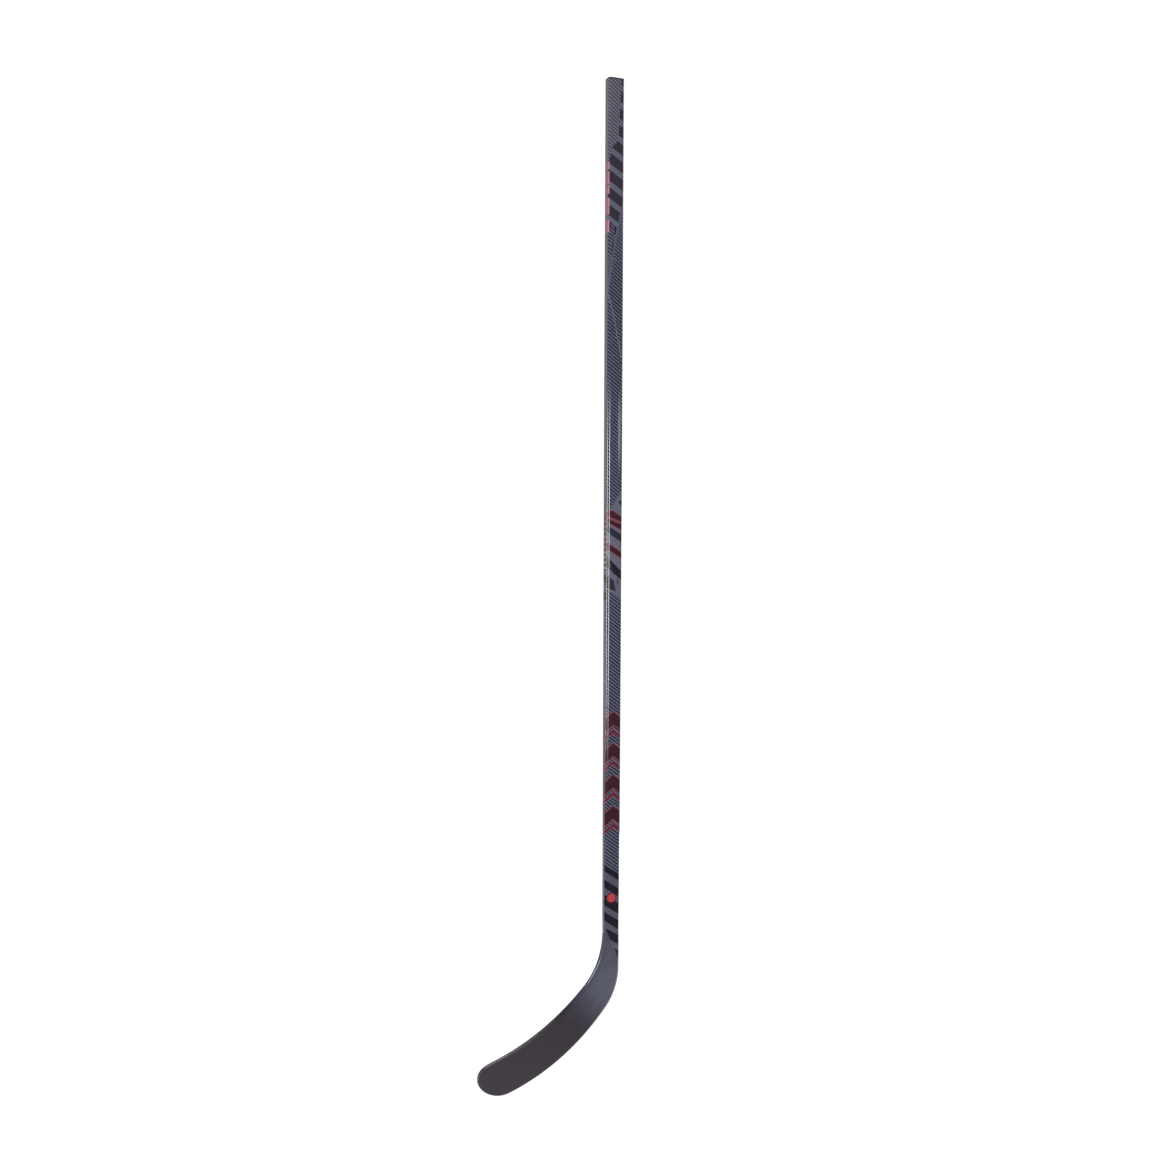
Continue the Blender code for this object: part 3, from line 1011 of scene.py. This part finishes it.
def make_light(name, position, target, size, radiance):
    """A soft rectangular light of size (width, height) that faces the target."""
    light = bpy.data.lights.new(name, "AREA")
    light.shape = "RECTANGLE"
    light.size, light.size_y = size
    light.energy = radiance * math.pi * size[0] * size[1]
    lamp = bpy.data.objects.new(name, light)
    bpy.context.scene.collection.objects.link(lamp)
    lamp.location = position
    aim = Vector(target) - Vector(position)
    lamp.rotation_euler = aim.to_track_quat("-Z", "Y").to_euler()
    lamp.visible_camera = False
    return light


def fade_ends(light, top, bottom):
    """Fades an upright light in from nothing over each pair of heights, so its reflection ends softly."""
    light.use_nodes = True
    tree = light.node_tree
    spot = Field(tree, tree.nodes.new("ShaderNodeNewGeometry").outputs["Position"])
    height = parted(spot)[2]
    share = height.ranged(*top, kind="SMOOTHSTEP") * height.ranged(*bottom, kind="SMOOTHSTEP")
    feed(tree.nodes["Emission"].inputs["Strength"], share)


def around(azimuth, distance, z):
    """A point at this compass angle in degrees from -Y, positive towards +X."""
    angle = math.radians(azimuth)
    return distance * math.sin(angle), -distance * math.cos(angle), z


def make_lights():
    middle = (0.0, 0.0, -0.95)
    make_light("top", around(-20, 1.6, 1.6), middle, (2.4, 1.6), 2.0)
    make_light("side", around(95, 3.0, 0.4), middle, (1.6, 1.6), 0.8)
    make_light("back", around(150, 3.0, 0.8), middle, (2.4, 1.6), 0.8)
    make_light("kicker", around(112, 0.8, -1.68), (0.0, 0.0, -1.45), (0.5, 0.3), 4.8)
    make_light("heel_glow", around(21, 0.65, -1.88), (0.0, 0.0, -1.59), (0.08, 0.08), 5.0)
    make_light("over", (-0.3, 0.1, 1.0), (-0.1, 0.0, -1.7), (0.9, 0.5), 3.5)
    for name, azimuth, width, height, radiance, z, top_soft, bottom_soft in (
        ("box_left", -78, 0.5, 1.34, 6.4, -0.96, 0.30, 0.44),
        ("box_front", 4, 0.5, 1.34, 6.4, -0.96, 0.30, 0.44),
        ("strip_right", 27.5, 0.12, 0.30, 1.1, -0.50, 0.12, 0.12),
    ):
        light = make_light(name, around(azimuth, 1.6, z), (0.0, 0.0, z), (width, height), radiance)
        top = z + height / 2
        bottom = z - height / 2
        fade_ends(light, (top, top - top_soft), (bottom, bottom + bottom_soft))


def make_camera():
    camera = bpy.data.cameras.new("camera")
    camera.lens = 38.0
    camera.sensor_width = 36.0
    camera.clip_start = 0.05
    holder = bpy.data.objects.new("camera", camera)
    bpy.context.scene.collection.objects.link(holder)
    right = Vector((0.93244, -0.36130, 0.00353))
    up = Vector((0.01306, 0.04346, 0.99897))
    back = Vector((-0.36108, -0.93144, 0.04524))
    turned = Matrix((right, up, back)).transposed().to_4x4()
    holder.matrix_world = Matrix.Translation((-0.83208, -1.96471, -0.76022)) @ turned
    bpy.context.scene.camera = holder
    bpy.context.scene.view_settings.view_transform = "Standard"


def dressed(piece, node, material):
    """Puts a finished piece in a CAD node's place."""
    piece.data.materials.append(material)
    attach(piece, "root")
    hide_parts(node)


make_camera()
make_world()
make_floor()
make_lights()

paint = shaft_paint("shaft_paint")
blade = blade_paint("blade_finish", 0.12, (0.15, 0.16, 1.5))
edge = blade_paint("blade_edge", 0.45, (1.0, 0.06, 1.8))
dressed(make_shaft(), "shaft_tube", paint)
dressed(make_plug(), "butt_end_plug", plug_plastic("plug_plastic"))
dressed(make_wrap(), "fuse_wrap", paint)
dressed(make_face("blade_forehand", 1.0), "blade_face_forehand", blade)
dressed(make_face("blade_backhand", -1.0), "blade_face_backhand", blade)
dressed(make_edge_band(), "blade_edge_band", edge)

for material, nodes in (
    (foam("core_foam"), ("tenon_core", "blade_core_upper", "blade_core_lower")),
    (laminate("inner_laminate"), ("hosel_tenon", "blade_rib")),
    (filler("heel_filler"), ("heel_core",)),
):
    for node in nodes:
        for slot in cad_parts[node].material_slots:
            slot.material = material
